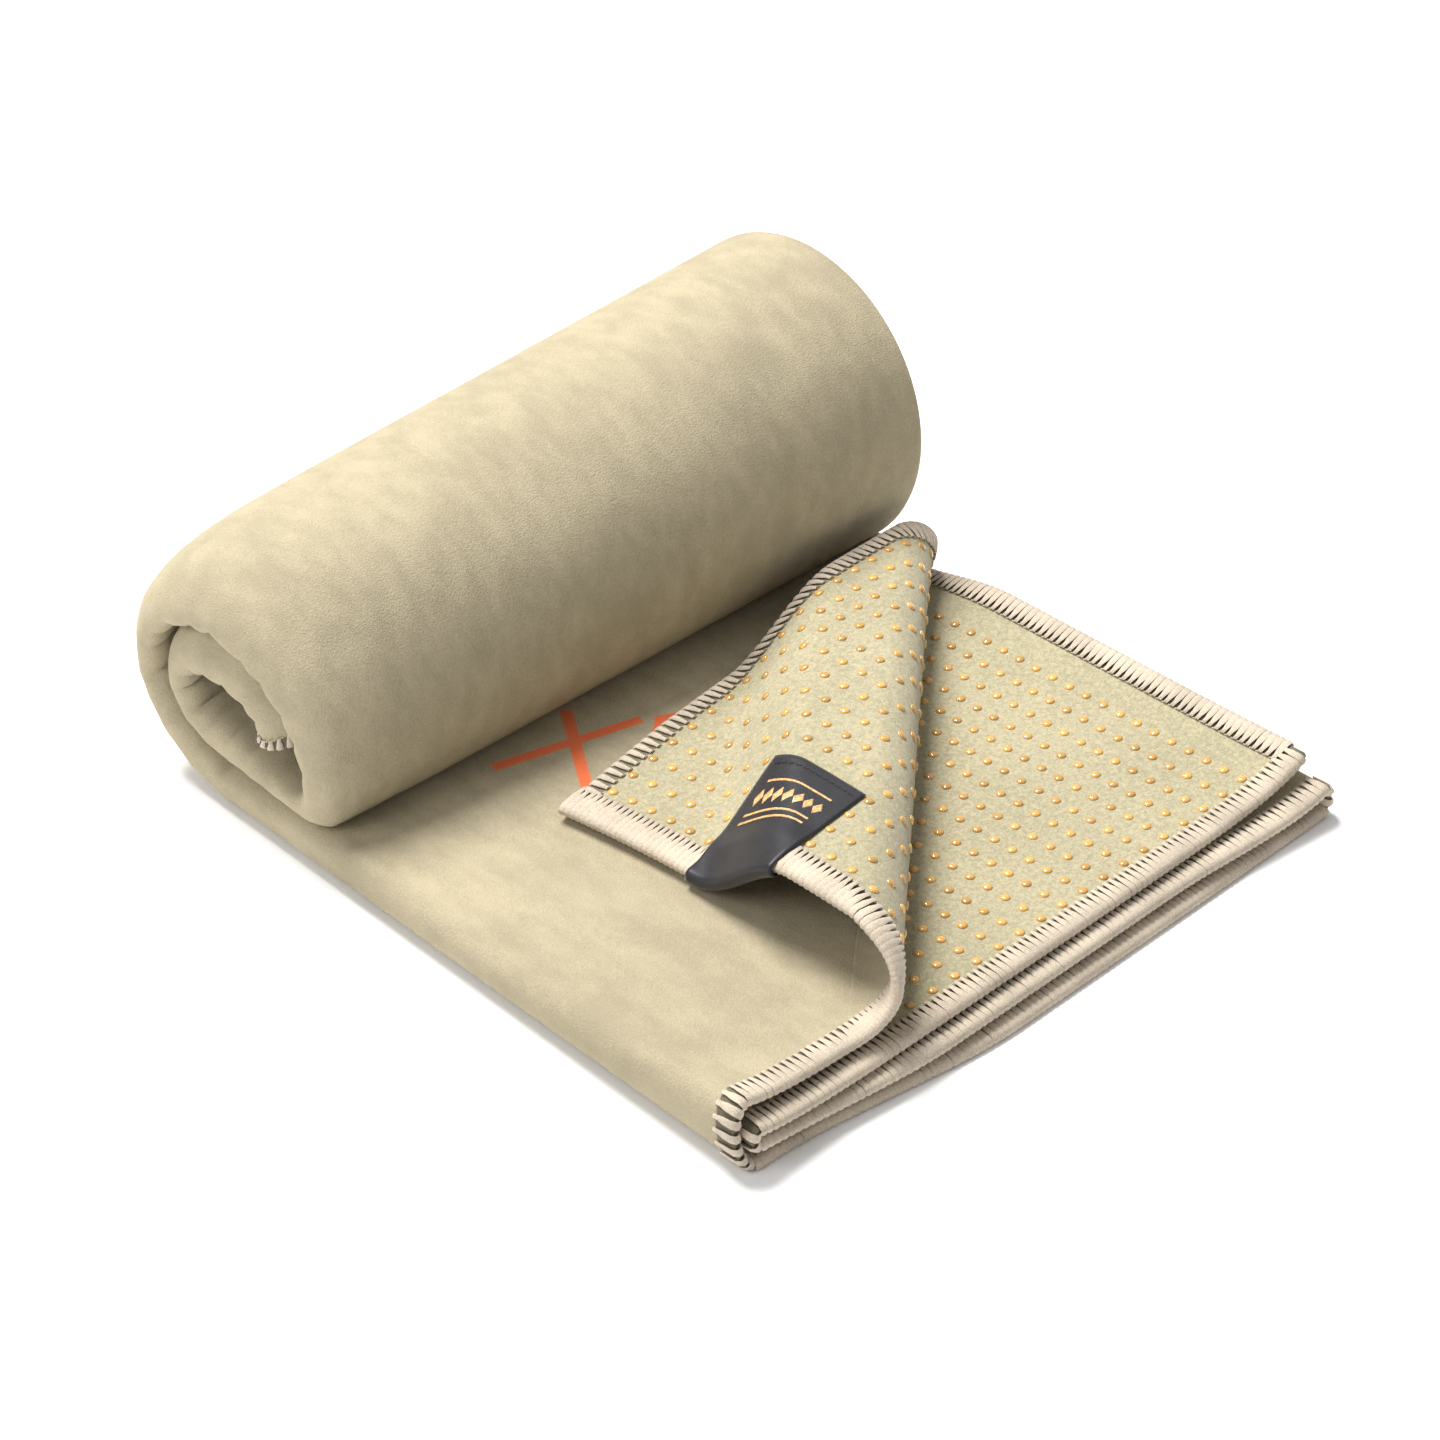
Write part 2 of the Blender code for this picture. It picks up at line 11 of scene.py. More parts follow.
import bmesh
import bpy
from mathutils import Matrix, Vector


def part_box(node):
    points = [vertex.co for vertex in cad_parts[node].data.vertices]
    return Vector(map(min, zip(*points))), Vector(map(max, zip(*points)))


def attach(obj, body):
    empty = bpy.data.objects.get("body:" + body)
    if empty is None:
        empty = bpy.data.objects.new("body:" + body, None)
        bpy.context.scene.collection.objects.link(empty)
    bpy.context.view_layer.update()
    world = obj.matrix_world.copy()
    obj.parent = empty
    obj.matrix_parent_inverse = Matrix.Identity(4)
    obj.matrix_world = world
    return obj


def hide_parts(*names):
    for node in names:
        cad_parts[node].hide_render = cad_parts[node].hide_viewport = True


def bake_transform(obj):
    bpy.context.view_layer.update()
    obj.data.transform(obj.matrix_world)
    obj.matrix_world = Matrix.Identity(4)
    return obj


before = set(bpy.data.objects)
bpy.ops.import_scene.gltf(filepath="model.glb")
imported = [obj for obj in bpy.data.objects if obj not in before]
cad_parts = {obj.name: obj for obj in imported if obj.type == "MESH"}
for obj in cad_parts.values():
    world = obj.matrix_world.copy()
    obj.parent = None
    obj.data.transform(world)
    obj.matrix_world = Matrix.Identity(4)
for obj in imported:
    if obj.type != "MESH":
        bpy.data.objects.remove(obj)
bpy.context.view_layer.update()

bl_info = {
    "name": "Quick-dry towel",
    "version": (1, 0, 0),
    "blender": (4, 5, 0),
    "location": "View3D > Sidebar > Towel",
    "description": "Builds a folded and rolled quick-dry towel on its packed frame",
    "category": "Object",
}

MM = 0.001
TAU = 2.0 * math.pi
ROOT = "towel"
FLAP = "corner_flap"

# --- the folded pack ---
CLOTH_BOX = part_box("towel_cloth")
HEM_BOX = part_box("front_hem")
CUT_LENGTH = 457.0 * MM
THICKNESS = 1.2 * MM
HALF = THICKNESS / 2.0
LEFT_X = CLOTH_BOX[0][0] + HALF
WIDTH = CLOTH_BOX[1][0] - HALF - LEFT_X
HEM_WIDTH = 5.2 * MM
HEM_VELOUR_SIDE = 0.6 * MM
HEM_DOT_SIDE = 1.0 * MM
OUTER_REACH = 4.0 * MM
INNER_REACH = 1.2 * MM
INNER_INSET = 3.8 * MM
RIGHT_REACH = 1.8 * MM
LOWER_AHEAD = 9.5 * MM
MIDDLE_AHEAD = 7.0 * MM
INNER_AHEAD = 3.5 * MM
FOLD_AHEAD = 3.0 * MM
DOTTED_STEP = 2.8 * MM           # panel to panel, where dots face dots
VELOUR_STEP = 2.2 * MM           # panel to panel, where velour faces velour
TURN_GAP = 1.3 * MM              # between one turn of the roll and the next
FRONT_Y = HEM_BOX[0][1] + LOWER_AHEAD
LOWER_Z = HALF
MIDDLE_Z = LOWER_Z + DOTTED_STEP
INNER_Z = MIDDLE_Z + VELOUR_STEP
UPPER_Z = INNER_Z + DOTTED_STEP
TURN_STEP = UPPER_Z + HALF + TURN_GAP

# --- loft of the stack near its edges, as shares of its height ---
FRONT_LOFT = 0.15
FRONT_LOFT_DEPTH = 25.0 * MM
LEFT_LOFT = 0.65
LEFT_LOFT_WIDTH = 11.0 * MM
LEFT_LOFT_DEPTH = 45.0 * MM
RIGHT_LOFT = 1.1
RIGHT_LOFT_WIDTH = 10.0 * MM
RIGHT_LOFT_ENDS = (74.0 * MM, 106.0 * MM)
PLEAT_SEED = 11
PLEAT_DEPTH = (0.12, 0.24)       # how far a small crease presses the stack together
PLEAT_WIDTH = (1.6, 2.8)         # millimetres
PLEAT_REACH = (9.0, 20.0)        # millimetres in from the folded side
PLEAT_APART = (8.0, 16.0)        # millimetres

# --- the roll ---
FLAT_LENGTH = 137.0 * MM
ROLL_DEPTH = (31.5 * MM, 35.5 * MM)
ROLL_HEIGHT = (27.5 * MM, 34.8 * MM)
ROLL_BACK = (139.5 * MM, 135.5 * MM)
FIRST_TURN = 180.0 * MM
TUCK_LENGTH = 25.0 * MM
TUCK_ANGLE = math.radians(312.0)
LAST_ANGLE = math.radians(272.0)
LEFT_PINCH_DEPTH = 0.09          # the folded end is drawn in
LEFT_PINCH_HEIGHT = 0.16
LEFT_PINCH_WIDTH = 7.0 * MM
TUCK_BULGE = (0.13, 0.0)         # lower front of the roll, at the left and the right end
TUCK_BULGE_AT = math.radians(300.0)
TUCK_BULGE_SPREAD = 35.0         # degrees

# --- the turned-back corner ---
CREASE_START = 26.0 * MM
CREASE_ANGLE = math.radians(40.0)
ALONG = (math.cos(CREASE_ANGLE), math.sin(CREASE_ANGLE))
CURL_RADIUS = (9.0 * MM, 6.5 * MM)
CURL_LENGTH = 140.0 * MM
REST_HEIGHT = 1.6 * MM + THICKNESS
FLAP_LEVEL_RUN = 12.0 * MM       # cloth that stays up beside the curl
FLAP_DROP_END = 30.0 * MM        # where it has come down to the panel below
FLAP_SLIDE = (20.0 * MM, -4.0 * MM)    # along the crease, at the front hem and at the roll
FLAP_SLIDE_REACH = 110.0 * MM
FLAP_SKEW = 22.0 * MM
FLAP_SKEW_RUN = 50.0 * MM
FLAP_TIP_SKEW = 8.0 * MM
STRETCH_RUN = (50.0 * MM, 112.0 * MM)  # where the panel eases into the roll's depth

UPPER, OUTER_FOLD, LOWER, RIGHT_FOLD, MIDDLE, INNER_FOLD, INNER = range(7)


def mix(a, b, t):
    return a + (b - a) * t


def smooth(low, high, x):
    t = min(max((x - low) / (high - low), 0.0), 1.0)
    return t * t * (3.0 - 2.0 * t)


def arc_length(wide, high):
    """Length of half an ellipse."""
    return math.pi * math.sqrt((wide * wide + high * high) / 2.0)


RIGHT_TURN = WIDTH - RIGHT_REACH
LENGTHS = (
    WIDTH - OUTER_REACH, arc_length(OUTER_REACH, (UPPER_Z - LOWER_Z) / 2.0),
    RIGHT_TURN - OUTER_REACH, arc_length(RIGHT_REACH, (MIDDLE_Z - LOWER_Z) / 2.0),
    RIGHT_TURN - INNER_INSET, arc_length(INNER_REACH, (INNER_Z - MIDDLE_Z) / 2.0),
    WIDTH - INNER_INSET)
CUT_WIDTH = sum(LENGTHS)


def panel_at(across_cut):
    """The panel or fold that a distance across the cut falls in, and the share along it."""
    rest = across_cut
    for piece, length in enumerate(LENGTHS):
        if rest <= length or piece == INNER:
            return piece, rest / length
        rest -= length


def cut_at(piece, t):
    return sum(LENGTHS[:piece]) + LENGTHS[piece] * t


def half_loop(start, t, centre, reach, low, high):
    angle = start + math.pi * t
    height = (low + high) / 2.0 + (high - low) / 2.0 * math.sin(angle)
    return centre + reach * math.cos(angle), height


def section(piece, t):
    """Distance from the left fold, height in the stack and front step."""
    down = -math.pi / 2.0
    if piece == UPPER:
        return mix(WIDTH, OUTER_REACH, t), UPPER_Z, 0.0
    if piece == OUTER_FOLD:
        across, height = half_loop(-down, t, OUTER_REACH, OUTER_REACH, LOWER_Z, UPPER_Z)
        return across, height, FOLD_AHEAD * t
    if piece == LOWER:
        ahead = mix(FOLD_AHEAD, LOWER_AHEAD, smooth(0.0, 0.4, t))
        return mix(OUTER_REACH, RIGHT_TURN, t), LOWER_Z, ahead
    if piece == RIGHT_FOLD:
        across, height = half_loop(down, t, RIGHT_TURN, RIGHT_REACH, LOWER_Z, MIDDLE_Z)
        return across, height, LOWER_AHEAD
    if piece == MIDDLE:
        ahead = mix(LOWER_AHEAD, MIDDLE_AHEAD, smooth(0.0, 0.3, t))
        ahead = mix(ahead, INNER_AHEAD, smooth(0.7, 1.0, t))
        return mix(RIGHT_TURN, INNER_INSET, t), MIDDLE_Z, ahead
    if piece == INNER_FOLD:
        across, height = half_loop(down, -t, INNER_INSET, INNER_REACH, MIDDLE_Z, INNER_Z)
        return across, height, INNER_AHEAD
    return mix(INNER_INSET, WIDTH, t), INNER_Z, INNER_AHEAD


def make_pleats():
    """Places of the small creases along the folded side, where the roll squeezes it."""
    draw = random.Random(PLEAT_SEED)
    pleats = []
    at = FLAT_LENGTH + 4.0 * MM
    while at < CUT_LENGTH:
        pleats.append((at, draw.uniform(*PLEAT_DEPTH), draw.uniform(*PLEAT_WIDTH) * MM,
                       draw.uniform(*PLEAT_REACH) * MM))
        at += draw.uniform(*PLEAT_APART) * MM
    return pleats


PLEATS = make_pleats()


def pleat(across, back):
    """How much the stack is pressed together by the small creases."""
    total = 0.0
    for at, depth, wide, reach in PLEATS:
        if abs(back - at) < 4.0 * wide:
            offset = (back - at) / wide
            total += depth * math.exp(-offset * offset) * math.exp(-across / reach)
    return total


def loft(across, back):
    """How much the stack stands up at a place, as a factor on the heights in it."""
    flat = max(back, 0.0)
    left_side = max(across, 0.0)
    right_side = max(WIDTH - across, 0.0)
    front = FRONT_LOFT * math.exp(-flat / FRONT_LOFT_DEPTH)
    left = LEFT_LOFT * math.exp(-left_side / LEFT_LOFT_WIDTH) * math.exp(-flat / LEFT_LOFT_DEPTH)
    right = RIGHT_LOFT * math.exp(-right_side / RIGHT_LOFT_WIDTH)
    right *= 1.0 - smooth(*RIGHT_LOFT_ENDS, flat)
    return 1.0 + front + left + right - pleat(left_side, back)


def lofted(height, across, back):
    return LOWER_Z + (height - LOWER_Z) * loft(across, back)


def winding_angle(back):
    run = back - FLAT_LENGTH
    if run < FIRST_TURN:
        return TUCK_ANGLE * run / FIRST_TURN
    run -= FIRST_TURN
    if run < TUCK_LENGTH:
        return TUCK_ANGLE + (TAU - TUCK_ANGLE) * run / TUCK_LENGTH
    run -= TUCK_LENGTH
    return TAU + LAST_ANGLE * run / (CUT_LENGTH - FLAT_LENGTH - FIRST_TURN - TUCK_LENGTH)


def rolled(across, height, back):
    """Distance back and height of a point of the stack, flat or wound into the roll."""
    share = across / WIDTH
    axis_back = mix(*ROLL_BACK, share)
    if back <= FLAT_LENGTH:
        return back * (axis_back / FLAT_LENGTH if back > 0.0 else 1.0), height
    pinch = math.exp(-max(across, 0.0) / LEFT_PINCH_WIDTH)
    depth = mix(*ROLL_DEPTH, share) * (1.0 - LEFT_PINCH_DEPTH * pinch)
    tall = mix(*ROLL_HEIGHT, share) * (1.0 - LEFT_PINCH_HEIGHT * pinch)
    angle = winding_angle(back)
    offset = math.degrees(angle % TAU - TUCK_BULGE_AT) / TUCK_BULGE_SPREAD
    bulge = 1.0 + mix(*TUCK_BULGE, share) * math.exp(-offset * offset)
    inward = height
    if angle >= TAU:
        inward += TURN_STEP
        bulge = 1.0
    elif angle > math.pi * 1.5:
        bulge = min(bulge, (1.0 - TURN_STEP / tall) / math.cos(angle))
    y = axis_back + (depth * bulge - inward) * math.sin(angle)
    z = tall - (tall * bulge - inward) * math.cos(angle)
    return y, z


def crease_position(back):
    """Where, across the width, the cloth leaves the panel and starts up the curl."""
    return CREASE_START + back * ALONG[0] / ALONG[1]


def turned_back(across, back):
    """Place of a point of the upper panel, with its corner curled over to the left."""
    dx = across - CREASE_START
    along = dx * ALONG[0] + back * ALONG[1]
    out = dx * ALONG[1] - back * ALONG[0]
    stretch = mix(*ROLL_BACK, across / WIDTH) / FLAT_LENGTH - 1.0
    shift = back * stretch * smooth(*STRETCH_RUN, back)
    if out <= 0.0:
        return across, back + shift, lofted(UPPER_Z, across, back)
    taper = min(max(along / CURL_LENGTH, 0.0), 1.0)
    radius = mix(*CURL_RADIUS, taper)
    angle = min(out / radius, math.pi)
    beyond = max(out - math.pi * radius, 0.0)
    foot_x = CREASE_START + along * ALONG[0]
    foot_y = along * ALONG[1]
    drop = 2.0 * radius - REST_HEIGHT
    height = lofted(UPPER_Z, foot_x, foot_y)
    height += radius * (1.0 - math.cos(angle))
    height -= drop * smooth(FLAP_LEVEL_RUN, FLAP_DROP_END, beyond)
    slide = mix(*FLAP_SLIDE, min(max(along / FLAP_SLIDE_REACH, 0.0), 1.0))
    slide *= smooth(0.0, 1.0, angle / math.pi)
    skew = beyond / FLAP_SKEW_RUN
    slide += FLAP_SKEW * skew + FLAP_TIP_SKEW * skew * skew
    sideways = radius * math.sin(angle) - beyond
    x = CREASE_START + (along - slide) * ALONG[0] + sideways * ALONG[1]
    y = (along - slide) * ALONG[1] - sideways * ALONG[0]
    return x, y + shift, height


def place(across_cut, from_hem):
    """The middle of the cloth at a point of the cut, in the frame's space."""
    piece, t = panel_at(across_cut)
    across, height, ahead = section(piece, t)
    back = from_hem - ahead * (1.0 - smooth(0.0, FLAT_LENGTH, from_hem))
    if piece == UPPER and back < FLAT_LENGTH - TUCK_LENGTH:
        x, y, z = turned_back(across, back)
    else:
        x = across
        y, z = rolled(across, lofted(height, across, back), back)
    return Vector((x + LEFT_X, y + FRONT_Y, z))


def place_with_normal(across_cut, from_hem):
    """The middle of the cloth, the way its dotted side faces, and the two ways of the cut."""
    step = 0.4 * MM
    here = place(across_cut, from_hem)
    side = place(across_cut + step, from_hem) - place(across_cut - step, from_hem)
    deep = place(across_cut, from_hem + step) - place(across_cut, from_hem - step)
    return here, side.cross(deep).normalized(), side.normalized(), deep.normalized()


# --- settings ---
class TowelSettings(bpy.types.PropertyGroup):
    """Sizes of the towel's details."""
    dot_diameter: bpy.props.FloatProperty(
        name="Dot diameter", description="Width of one grip dot",
        default=2.1 * MM, min=0.5 * MM, max=5.0 * MM, unit="LENGTH", precision=4)
    dot_height: bpy.props.FloatProperty(
        name="Dot height", description="How far a grip dot stands off the cloth",
        default=0.45 * MM, min=0.1 * MM, max=2.0 * MM, unit="LENGTH", precision=4)
    dot_pitch_across: bpy.props.FloatProperty(
        name="Dot pitch across", description="From dot to dot across the cut",
        default=5.8 * MM, min=2.0 * MM, max=20.0 * MM, unit="LENGTH", precision=4)
    dot_pitch_along: bpy.props.FloatProperty(
        name="Dot pitch along", description="From dot to dot along the cut",
        default=4.3 * MM, min=2.0 * MM, max=20.0 * MM, unit="LENGTH", precision=4)
    stitch_pitch: bpy.props.FloatProperty(
        name="Stitch pitch", description="From stitch to stitch along the overlocked edge",
        default=1.55 * MM, min=0.8 * MM, max=4.0 * MM, unit="LENGTH", precision=4)


class TowelColours(bpy.types.PropertyGroup):
    """Colours of the towel's finishes."""
    velour: bpy.props.FloatVectorProperty(
        name="Velour", description="Napped upper side of the cloth",
        default=(0.40, 0.345, 0.235), subtype="COLOR", min=0.0, max=1.0)
    underside: bpy.props.FloatVectorProperty(
        name="Underside", description="Knitted side that carries the dots",
        default=(0.39, 0.345, 0.225), subtype="COLOR", min=0.0, max=1.0)
    thread: bpy.props.FloatVectorProperty(
        name="Thread", description="Overlock thread",
        default=(0.52, 0.44, 0.345), subtype="COLOR", min=0.0, max=1.0)
    dots: bpy.props.FloatVectorProperty(
        name="Dots", description="Clear amber silicone",
        default=(0.60, 0.34, 0.09), subtype="COLOR", min=0.0, max=1.0)
    label: bpy.props.FloatVectorProperty(
        name="Label", description="Woven ribbon",
        default=(0.010, 0.010, 0.014), subtype="COLOR", min=0.0, max=1.0)
    gold: bpy.props.FloatVectorProperty(
        name="Gold", description="Motif and sewing thread of the label",
        default=(0.62, 0.37, 0.16), subtype="COLOR", min=0.0, max=1.0)
    marks: bpy.props.FloatVectorProperty(
        name="Printed marks", description="Ink of the strokes printed on the velour",
        default=(0.80, 0.16, 0.055), subtype="COLOR", min=0.0, max=1.0)


# --- materials ---
class Sock:
    """A socket that adds its Math nodes when it is used in an expression."""
    def __init__(self, paint, socket):
        self.paint = paint
        self.socket = socket

    def _math(self, operation, *values):
        return self.paint.node("ShaderNodeMath", {"operation": operation}, list(values))

    def __add__(self, other):
        return self._math("ADD", self, other)

    def __sub__(self, other):
        return self._math("SUBTRACT", self, other)

    def __rsub__(self, other):
        return self._math("SUBTRACT", other, self)

    def __mul__(self, other):
        return self._math("MULTIPLY", self, other)

    def __abs__(self):
        return self._math("ABSOLUTE", self)

    def maximum(self, other):
        return self._math("MAXIMUM", self, other)

    def minimum(self, other):
        return self._math("MINIMUM", self, other)

    def step(self, low, high):
        """0 below low, 1 above high."""
        settings = {"interpolation_type": "SMOOTHSTEP"}
        return self.paint.node("ShaderNodeMapRange", settings, [self, low, high, 0.0, 1.0])

    __radd__ = __add__
    __rmul__ = __mul__


class Paint:
    """A material and its nodes."""
    def __init__(self, name, colour, roughness, **constants):
        self.material = bpy.data.materials.new(name)
        self.material.use_nodes = True
        self.tree = self.material.node_tree
        self.shader = self.tree.nodes["Principled BSDF"]
        self.shader.inputs["Base Color"].default_value = (*colour, 1.0)
        self.shader.inputs["Roughness"].default_value = roughness
        for socket, value in constants.items():
            self.shader.inputs[socket.replace("_", " ")].default_value = value

    def node(self, kind, settings=None, values=(), output=0):
        """Any node: its settings first, then the values or links of its sockets."""
        made = self.tree.nodes.new(kind)
        for key, value in (settings or {}).items():
            setattr(made, key, value)
        pairs = values.items() if isinstance(values, dict) else enumerate(values)
        for key, value in pairs:
            if isinstance(value, Sock):
                self.tree.links.new(value.socket, made.inputs[key])
            else:
                made.inputs[key].default_value = value
        return Sock(self, made.outputs[output])

    def noise(self, scale, detail=2.0, vector=None, roughness=0.5, stretch=None):
        place_in = vector or self.node("ShaderNodeTexCoord", output="Object")
        if stretch:
            place_in = self.node("ShaderNodeVectorMath", {"operation": "MULTIPLY"},
                                 [place_in, stretch])
        return self.node("ShaderNodeTexNoise", None, {
            "Vector": place_in, "Scale": scale, "Detail": detail, "Roughness": roughness})

    def blend(self, factor, first, second):
        """Colours mixed by a factor."""
        settings = {"data_type": "RGBA"}
        first = first if isinstance(first, Sock) else (*first, 1.0)
        second = second if isinstance(second, Sock) else (*second, 1.0)
        return self.node("ShaderNodeMix", settings, {0: factor, 6: first, 7: second}, output=2)

    def colour(self, value):
        self.tree.links.new(value.socket, self.shader.inputs["Base Color"])

    def rough(self, value):
        self.tree.links.new(value.socket, self.shader.inputs["Roughness"])

    def bump(self, height, distance, strength=1.0):
        normal = self.node("ShaderNodeBump", None, {
            "Height": height, "Distance": distance, "Strength": strength})
        self.tree.links.new(normal.socket, self.shader.inputs["Normal"])


def shade(colour, factor):
    return tuple(min(part * factor, 1.0) for part in colour)


def cut_coordinates(paint):
    """Sockets with the distances across and along the cut, in metres, from the cloth's map."""
    uv = paint.node("ShaderNodeUVMap", {"uv_map": "cut"})
    apart = paint.tree.nodes.new("ShaderNodeSeparateXYZ")
    paint.tree.links.new(uv.socket, apart.inputs[0])
    return Sock(paint, apart.outputs[0]), Sock(paint, apart.outputs[1])


def painted_hem_shade(paint, u, v, base, colour):
    """Darkens the strip of cloth that the overlock thread covers: painted shade for the gaps
    between the stitches.
    """
    edge = u.minimum(CUT_WIDTH - u).minimum(v).minimum(CUT_LENGTH - v)
    inside = edge.step(HEM_WIDTH - 0.5 * MM, HEM_WIDTH)
    return paint.blend(inside, shade(base, HEM_SHADE_PAINT_FACTOR), colour)


def stroke(u, v, start, end, wide):
    """1 on a straight stroke between two points of the cut."""
    run = (end[0] - start[0], end[1] - start[1])
    length = math.hypot(*run)
    way = (run[0] / length, run[1] / length)
    du, dv = u - start[0], v - start[1]
    along = du * way[0] + dv * way[1]
    beside = abs(du * way[1] - dv * way[0])
    past = abs(along - length / 2.0) - length / 2.0
    soft = 0.25 * MM
    return 1.0 - (beside.maximum(past) - wide / 2.0).step(-soft, soft)


# painted shade: how dark the cloth under the overlock stitches is made
HEM_SHADE_PAINT_FACTOR = 0.42
MARK_WIDTH = 2.4 * MM
MARK_STROKES = (                 # millimetres across and along the cut
    ((113.0, 104.0), (84.0, 97.0)), ((105.0, 88.0), (92.0, 108.0)),
    ((92.0, 84.0), (80.0, 94.0)), ((80.0, 94.0), (64.0, 88.0)))


def velour_paint(colours):
    paint = Paint("velour", colours.velour, 0.92, Sheen_Weight=0.35, Sheen_Roughness=0.45,
                  Specular_IOR_Level=0.18)
    base = tuple(colours.velour)
    paint.shader.inputs["Sheen Tint"].default_value = (*shade(base, 1.6), 1.0)
    u, v = cut_coordinates(paint)
    nap = paint.noise(2600.0, 3.0, roughness=0.65)
    brushed = paint.noise(260.0, 3.0, stretch=(1.0, 0.45, 0.6))
    cloudy = paint.noise(38.0, 3.0)
    value = nap * 0.42 + brushed * 0.30 + cloudy * 0.28
    colour = paint.blend(value.step(0.36, 0.66), shade(base, 0.83), shade(base, 1.16))
    ink = None
    for start, end in MARK_STROKES:
        mark = stroke(u, v, [c * MM for c in start], [c * MM for c in end], MARK_WIDTH)
        ink = mark if ink is None else ink.maximum(mark)
    ink = ink * (nap.step(0.3, 0.5) * 0.25 + 0.75)
    colour = paint.blend(ink, colour, tuple(colours.marks))
    # the strip under the overlock thread gets painted shade
    paint.colour(painted_hem_shade(paint, u, v, base, colour))
    paint.rough(nap * 0.14 + 0.84)
    paint.bump(nap * 0.7 + brushed * 0.3, 0.35 * MM, 0.9)
    return paint.material


def underside_paint(colours):
    paint = Paint("underside", colours.underside, 0.88, Sheen_Weight=0.2, Sheen_Roughness=0.5,
                  Specular_IOR_Level=0.2)
    base = tuple(colours.underside)
    u, v = cut_coordinates(paint)
    speck = paint.noise(2100.0, 2.0, roughness=0.7)
    heather = paint.noise(900.0, 2.0)
    cloudy = paint.noise(30.0, 2.0)
    value = speck * 0.5 + heather * 0.3 + cloudy * 0.2
    colour = paint.blend(value.step(0.36, 0.66), shade(base, 0.74), shade(base, 1.20))
    green = paint.noise(1500.0, 1.0)
    colour = paint.blend(green.step(0.5, 0.7) * 0.35, colour, (0.33, 0.36, 0.22))
    # the strip under the overlock thread gets painted shade
    paint.colour(painted_hem_shade(paint, u, v, base, colour))
    paint.bump(speck * 0.6 + heather * 0.4, 0.2 * MM, 0.8)
    return paint.material


def thread_paint(colours):
    paint = Paint("overlock thread", colours.thread, 0.7, Sheen_Weight=0.25,
                  Sheen_Roughness=0.4, Specular_IOR_Level=0.3)
    base = tuple(colours.thread)
    fibre = paint.noise(3200.0, 2.0)
    patch = paint.noise(120.0, 2.0)
    value = fibre * 0.6 + patch * 0.4
    paint.colour(paint.blend(value.step(0.35, 0.65), shade(base, 0.82), shade(base, 1.15)))
    paint.bump(fibre, 0.12 * MM, 0.7)
    return paint.material


def dot_paint(colours):
    paint = Paint("clear silicone", colours.dots, 0.12, Specular_IOR_Level=0.6,
                  Coat_Weight=0.6, Coat_Roughness=0.05, Subsurface_Weight=0.25,
                  Subsurface_Scale=0.0008)
    base = tuple(colours.dots)
    tint = paint.noise(90.0, 2.0)
    paint.colour(paint.blend(tint.step(0.35, 0.65), shade(base, 0.8), shade(base, 1.25)))
    return paint.material


def label_paint(colours):
    paint = Paint("label ribbon", colours.label, 0.42, Sheen_Weight=0.3, Sheen_Roughness=0.35,
                  Specular_IOR_Level=0.4)
    base = tuple(colours.label)
    uv = paint.node("ShaderNodeUVMap", {"uv_map": "cut"})
    weave = paint.noise(1.0, 1.0, vector=uv, stretch=(9000.0, 2200.0, 1.0))
    cloud = paint.noise(160.0, 2.0)
    value = weave * 0.6 + cloud * 0.4
    paint.colour(paint.blend(value.step(0.3, 0.7), shade(base, 0.6), shade(base, 1.9)))
    paint.rough(weave * 0.2 + 0.34)
    paint.bump(weave, 0.08 * MM, 0.6)
    return paint.material


def gold_paint(colours):
    paint = Paint("gold thread", colours.gold, 0.42, Specular_IOR_Level=0.5)
    base = tuple(colours.gold)
    strand = paint.noise(2600.0, 2.0)
    paint.colour(paint.blend(strand.step(0.35, 0.65), shade(base, 0.7), shade(base, 1.3)))
    paint.bump(strand, 0.05 * MM, 0.6)
    return paint.material


PAINTS = {}


def paint_named(name):
    """Each finish is made once, from the colours in the sidebar."""
    makers = {"velour": velour_paint, "underside": underside_paint, "thread": thread_paint,
              "dots": dot_paint, "label": label_paint, "gold": gold_paint}
    if name not in PAINTS:
        PAINTS[name] = makers[name](bpy.context.scene.towel_colours)
    return PAINTS[name]


# --- building blocks ---
def new_piece(name, mesh_bm, materials, angle=60.0):
    mesh = bpy.data.meshes.new(name)
    mesh_bm.to_mesh(mesh)
    mesh_bm.free()
    for material in materials:
        mesh.materials.append(material)
    mesh.shade_smooth()
    mesh.set_sharp_from_angle(angle=math.radians(angle))
    piece = bpy.data.objects.new(name, mesh)
    bpy.context.scene.collection.objects.link(piece)
    return piece


def template_mesh(name, bm):
    """A small shape to be copied many times."""
    mesh = bpy.data.meshes.new(name)
    bm.to_mesh(mesh)
    bm.free()
    return mesh


def give_thickness(piece, thickness, other_side=0):
    solidify = piece.modifiers.new("thickness", "SOLIDIFY")
    solidify.thickness = thickness
    solidify.offset = 0.0
    solidify.material_offset = other_side
    return piece


def sheet_piece(name, stations, point, materials, thickness, other_side=0):
    """A sheet over a grid of stations, each a pair of distances on the cut."""
    rows = len(stations) - 1
    columns = len(stations[0]) - 1
    bm = bmesh.new()
    uv_layer = bm.loops.layers.uv.new("cut")
    bmesh.ops.create_grid(bm, x_segments=columns, y_segments=rows, size=0.5)
    where = {}
    for vert in bm.verts:
        column = round((vert.co.x + 0.5) * columns)
        row = round((vert.co.y + 0.5) * rows)
        where[vert] = stations[row][column]
        vert.co = point(*stations[row][column])
    for face in bm.faces:
        for loop in face.loops:
            loop[uv_layer].uv = where[loop.vert]
    piece = new_piece(name, bm, materials)
    return give_thickness(piece, thickness, other_side)


